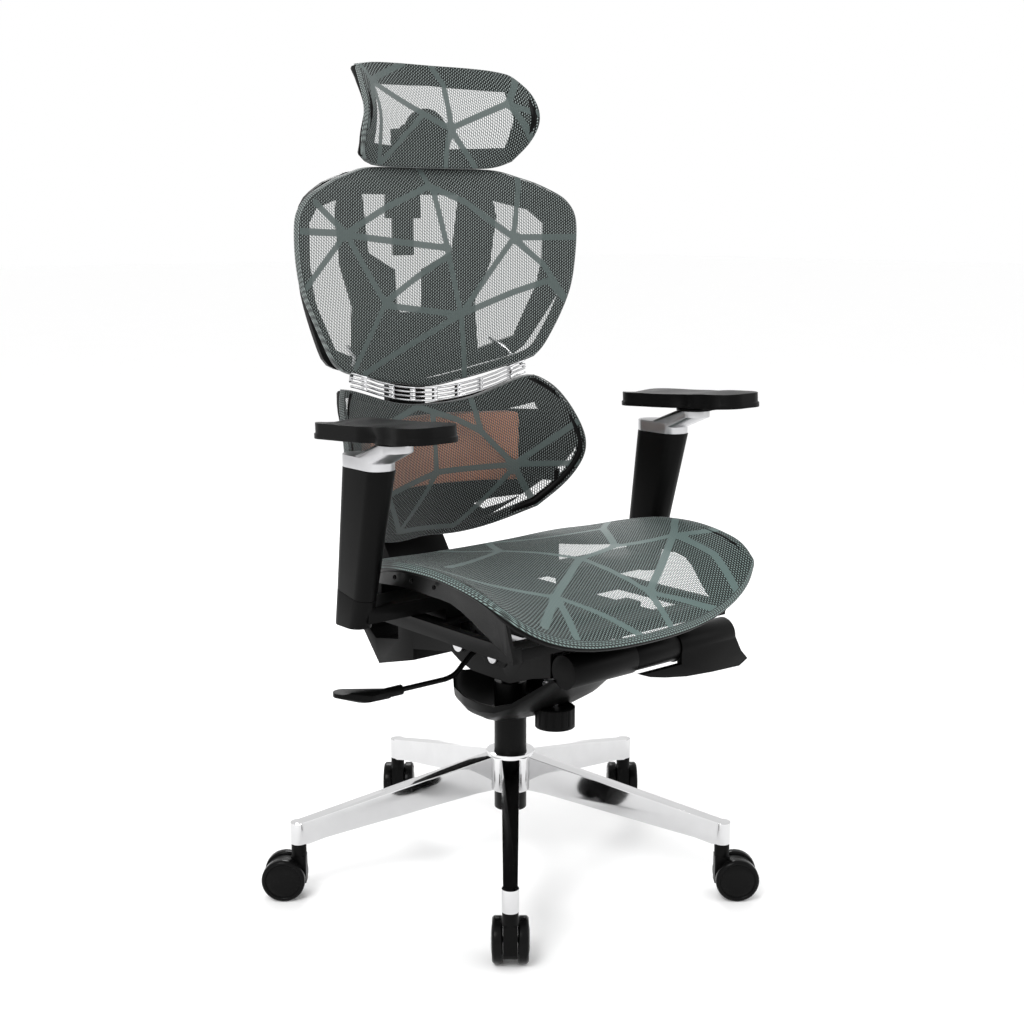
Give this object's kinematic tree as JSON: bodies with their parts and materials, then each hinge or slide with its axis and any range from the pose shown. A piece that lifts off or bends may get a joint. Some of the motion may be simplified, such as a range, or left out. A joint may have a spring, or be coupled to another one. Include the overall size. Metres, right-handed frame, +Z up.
{
  "type": "high-back mesh gaming chair",
  "caption": "High-back swivel chair with stretched mesh seat, back, lumbar support and headrest, adjustable arms and a five-star caster base.",
  "frame": {"origin": "on the floor, on the axis of the gas lift", "axes": "+Z up along the gas lift; the sitter faces -Y; +X is the sitter's left"},
  "size_m": [0.7444, 0.727, 1.2371],
  "materials": {
    "polished_base": "mirror-polished aluminium casting",
    "black_steel": "satin black powder coat",
    "bright_steel": "bright zinc-plated steel",
    "black_plastic": "fine-textured moulded nylon",
    "seat_mesh": "woven elastic mesh, dark green with pale thread and lighter bands",
    "back_mesh": "woven elastic mesh, black-green with pale thread and lighter bands",
    "grille_chrome": "bright plated trim",
    "lumbar_foam": "orange-brown padded fabric",
    "satin_silver": "satin die-cast aluminium",
    "pad_foam": "soft black integral-skin foam",
    "wheel_nylon": "glossy black nylon disc with a soft tread"
  },
  "bodies": {
    "base": {"star_base": "polished_base", "gas_lift_column": "black_steel", "lift_thrust_bearing": "bright_steel"},
    "lift_rod": {"gas_piston_rod": "bright_steel"},
    "mechanism": {"gas_pressure_tube": "black_steel", "mechanism_housing": "black_steel", "mechanism_cover": "black_plastic", "spring_barrel": "black_plastic", "tension_spring": "bright_steel", "tension_bolt": "bright_steel", "recline_axle": "bright_steel", "seat_pivot_shaft": "bright_steel"},
    "tension_knob": {"tension_knob": "black_plastic"},
    "height_lever": {"height_lever_rod": "black_steel", "height_lever_paddle": "black_plastic"},
    "tilt_lock": {"tilt_lock_paddle": "black_plastic", "tilt_lock_shaft": "bright_steel"},
    "seat_carrier": {"seat_plate": "black_steel", "seat_rails": "bright_steel", "arm_upright_left": "black_plastic", "arm_upright_right": "black_plastic"},
    "seat_pan": {"seat_frame": "black_plastic", "seat_mesh": "seat_mesh"},
    "back": {"back_bar": "black_plastic", "back_spine": "black_plastic", "back_frame": "black_plastic", "back_mesh": "back_mesh", "back_grille": "grille_chrome", "back_screws": "bright_steel", "lumbar_pivot_pin": "bright_steel"},
    "lumbar": {"lumbar_frame": "black_plastic", "lumbar_mesh": "back_mesh", "lumbar_pad": "lumbar_foam"},
    "headrest_slider": {"headrest_stalk": "black_plastic"},
    "headrest": {"headrest_bracket": "black_plastic", "headrest_frame": "black_plastic", "headrest_mesh": "back_mesh"},
    "arm_left_post": {"arm_post_left": "black_plastic"},
    "arm_left_bracket": {"arm_bracket_left": "satin_silver"},
    "arm_left_plate": {"arm_pad_plate_left": "black_plastic"},
    "arm_left_pad": {"arm_pad_left": "pad_foam"},
    "arm_right_post": {"arm_post_right": "black_plastic"},
    "arm_right_bracket": {"arm_bracket_right": "satin_silver"},
    "arm_right_plate": {"arm_pad_plate_right": "black_plastic"},
    "arm_right_pad": {"arm_pad_right": "pad_foam"},
    "caster_1": {"caster_fork_1": "black_plastic"},
    "caster_1_wheel_a": {"caster_wheel_1a": "wheel_nylon"},
    "caster_1_wheel_b": {"caster_wheel_1b": "wheel_nylon"},
    "caster_2": {"caster_fork_2": "black_plastic"},
    "caster_2_wheel_a": {"caster_wheel_2a": "wheel_nylon"},
    "caster_2_wheel_b": {"caster_wheel_2b": "wheel_nylon"},
    "caster_3": {"caster_fork_3": "black_plastic"},
    "caster_3_wheel_a": {"caster_wheel_3a": "wheel_nylon"},
    "caster_3_wheel_b": {"caster_wheel_3b": "wheel_nylon"},
    "caster_4": {"caster_fork_4": "black_plastic"},
    "caster_4_wheel_a": {"caster_wheel_4a": "wheel_nylon"},
    "caster_4_wheel_b": {"caster_wheel_4b": "wheel_nylon"},
    "caster_5": {"caster_fork_5": "black_plastic"},
    "caster_5_wheel_a": {"caster_wheel_5a": "wheel_nylon"},
    "caster_5_wheel_b": {"caster_wheel_5b": "wheel_nylon"}
  },
  "joints": [
    {"name": "seat_swivel", "type": "hinge", "parent": "base", "child": "lift_rod", "pos_m": [0, 0, 0.11], "axis": [0, 0, 1], "continuous": true},
    {"name": "seat_height", "type": "slide", "parent": "lift_rod", "child": "mechanism", "axis": [0, 0, 1], "range_m": [0, 0.09]},
    {"name": "knob_turn", "type": "hinge", "parent": "mechanism", "child": "tension_knob", "pos_m": [0, -0.104, 0.27], "axis": [0, 0, 1], "range_deg": [0, 720]},
    {"name": "lever_lift", "type": "hinge", "parent": "mechanism", "child": "height_lever", "pos_m": [-0.049, -0.02, 0.376], "axis": [0, 1, 0], "range_deg": [0, 6], "stiffness_Nm_per_rad": 3, "springref_deg": -8.59},
    {"name": "tilt_lock_turn", "type": "hinge", "parent": "mechanism", "child": "tilt_lock", "pos_m": [0.1, -0.18, 0.371], "axis": [1, 0, 0], "range_deg": [-15, 15]},
    {"name": "back_recline", "type": "hinge", "parent": "mechanism", "child": "back", "pos_m": [0, 0.06, 0.362], "axis": [-1, 0, 0], "range_deg": [0, 22], "stiffness_Nm_per_rad": 80, "springref_deg": -34.38},
    {"name": "seat_tilt", "type": "hinge", "parent": "mechanism", "child": "seat_carrier", "pos_m": [0, -0.104, 0.39], "axis": [-1, 0, 0], "range_deg": [0, 6.6]},
    {"name": "seat_depth", "type": "slide", "parent": "seat_carrier", "child": "seat_pan", "axis": [0, -1, 0], "range_m": [0, 0.05]},
    {"name": "lumbar_rock", "type": "hinge", "parent": "back", "child": "lumbar", "pos_m": [0, 0.266, 0.64], "axis": [1, 0, 0], "range_deg": [0, 5]},
    {"name": "headrest_height", "type": "slide", "parent": "back", "child": "headrest_slider", "axis": [0, 0, 1], "range_m": [0, 0.05]},
    {"name": "headrest_tilt", "type": "hinge", "parent": "headrest_slider", "child": "headrest", "pos_m": [0, 0.225, 1.14], "axis": [-1, 0, 0], "range_deg": [0, 30]},
    {"name": "arm_height_left", "type": "slide", "parent": "seat_carrier", "child": "arm_left_post", "axis": [0, -0.184, 0.9829], "range_m": [0, 0.07]},
    {"name": "arm_swing_left", "type": "hinge", "parent": "arm_left_post", "child": "arm_left_bracket", "pos_m": [0.285, -0.03906, 0.68], "axis": [0, 0, 1], "range_deg": [-20, 20]},
    {"name": "pad_turn_left", "type": "hinge", "parent": "arm_left_bracket", "child": "arm_left_plate", "pos_m": [0.287, -0.105, 0.716], "axis": [0, 0, 1], "range_deg": [-20, 20]},
    {"name": "pad_slide_left", "type": "slide", "parent": "arm_left_plate", "child": "arm_left_pad", "axis": [0, 1, 0], "range_m": [-0.025, 0.025]},
    {"name": "arm_height_right", "type": "slide", "parent": "seat_carrier", "child": "arm_right_post", "axis": [0, -0.184, 0.9829], "range_m": [0, 0.07]},
    {"name": "arm_swing_right", "type": "hinge", "parent": "arm_right_post", "child": "arm_right_bracket", "pos_m": [-0.285, -0.03906, 0.68], "axis": [0, 0, 1], "range_deg": [-20, 20]},
    {"name": "pad_turn_right", "type": "hinge", "parent": "arm_right_bracket", "child": "arm_right_plate", "pos_m": [-0.287, -0.105, 0.716], "axis": [0, 0, 1], "range_deg": [-20, 20]},
    {"name": "pad_slide_right", "type": "slide", "parent": "arm_right_plate", "child": "arm_right_pad", "axis": [0, 1, 0], "range_m": [-0.025, 0.025]},
    {"name": "caster_1_swivel", "type": "hinge", "parent": "base", "child": "caster_1", "pos_m": [-0.21533, -0.25662, 0.07], "axis": [0, 0, 1], "continuous": true},
    {"name": "caster_1_wheel_a_spin", "type": "hinge", "parent": "caster_1", "child": "caster_1_wheel_a", "pos_m": [-0.20119, -0.23977, 0.0325], "axis": [-0.766, 0.6428, 0], "continuous": true},
    {"name": "caster_1_wheel_b_spin", "type": "hinge", "parent": "caster_1", "child": "caster_1_wheel_b", "pos_m": [-0.20119, -0.23977, 0.0325], "axis": [-0.766, 0.6428, 0], "continuous": true},
    {"name": "caster_2_swivel", "type": "hinge", "parent": "base", "child": "caster_2", "pos_m": [0.17752, -0.2841, 0.07], "axis": [0, 0, 1], "continuous": true},
    {"name": "caster_2_wheel_a_spin", "type": "hinge", "parent": "caster_2", "child": "caster_2_wheel_a", "pos_m": [0.19438, -0.29824, 0.0325], "axis": [0.6428, 0.766, 0], "continuous": true},
    {"name": "caster_2_wheel_b_spin", "type": "hinge", "parent": "caster_2", "child": "caster_2_wheel_b", "pos_m": [0.19438, -0.29824, 0.0325], "axis": [0.6428, 0.766, 0], "continuous": true},
    {"name": "caster_3_swivel", "type": "hinge", "parent": "base", "child": "caster_3", "pos_m": [0.32505, 0.08104, 0.07], "axis": [0, 0, 1], "continuous": true},
    {"name": "caster_3_wheel_a_spin", "type": "hinge", "parent": "caster_3", "child": "caster_3_wheel_a", "pos_m": [0.33919, 0.0979, 0.0325], "axis": [-0.766, 0.6428, 0], "continuous": true},
    {"name": "caster_3_wheel_b_spin", "type": "hinge", "parent": "caster_3", "child": "caster_3_wheel_b", "pos_m": [0.33919, 0.0979, 0.0325], "axis": [-0.766, 0.6428, 0], "continuous": true},
    {"name": "caster_4_swivel", "type": "hinge", "parent": "base", "child": "caster_4", "pos_m": [0.02337, 0.33418, 0.07], "axis": [0, 0, 1], "continuous": true},
    {"name": "caster_4_wheel_a_spin", "type": "hinge", "parent": "caster_4", "child": "caster_4_wheel_a", "pos_m": [0.03751, 0.35104, 0.0325], "axis": [-0.766, 0.6428, 0], "continuous": true},
    {"name": "caster_4_wheel_b_spin", "type": "hinge", "parent": "caster_4", "child": "caster_4_wheel_b", "pos_m": [0.03751, 0.35104, 0.0325], "axis": [-0.766, 0.6428, 0], "continuous": true},
    {"name": "caster_5_swivel", "type": "hinge", "parent": "base", "child": "caster_5", "pos_m": [-0.31061, 0.12549, 0.07], "axis": [0, 0, 1], "continuous": true},
    {"name": "caster_5_wheel_a_spin", "type": "hinge", "parent": "caster_5", "child": "caster_5_wheel_a", "pos_m": [-0.32746, 0.13964, 0.0325], "axis": [-0.6428, -0.766, 0], "continuous": true},
    {"name": "caster_5_wheel_b_spin", "type": "hinge", "parent": "caster_5", "child": "caster_5_wheel_b", "pos_m": [-0.32746, 0.13964, 0.0325], "axis": [-0.6428, -0.766, 0], "continuous": true}
  ],
  "couplings": [
    {"joint": "seat_tilt", "follows": "back_recline", "ratio": 0.3}
  ]
}
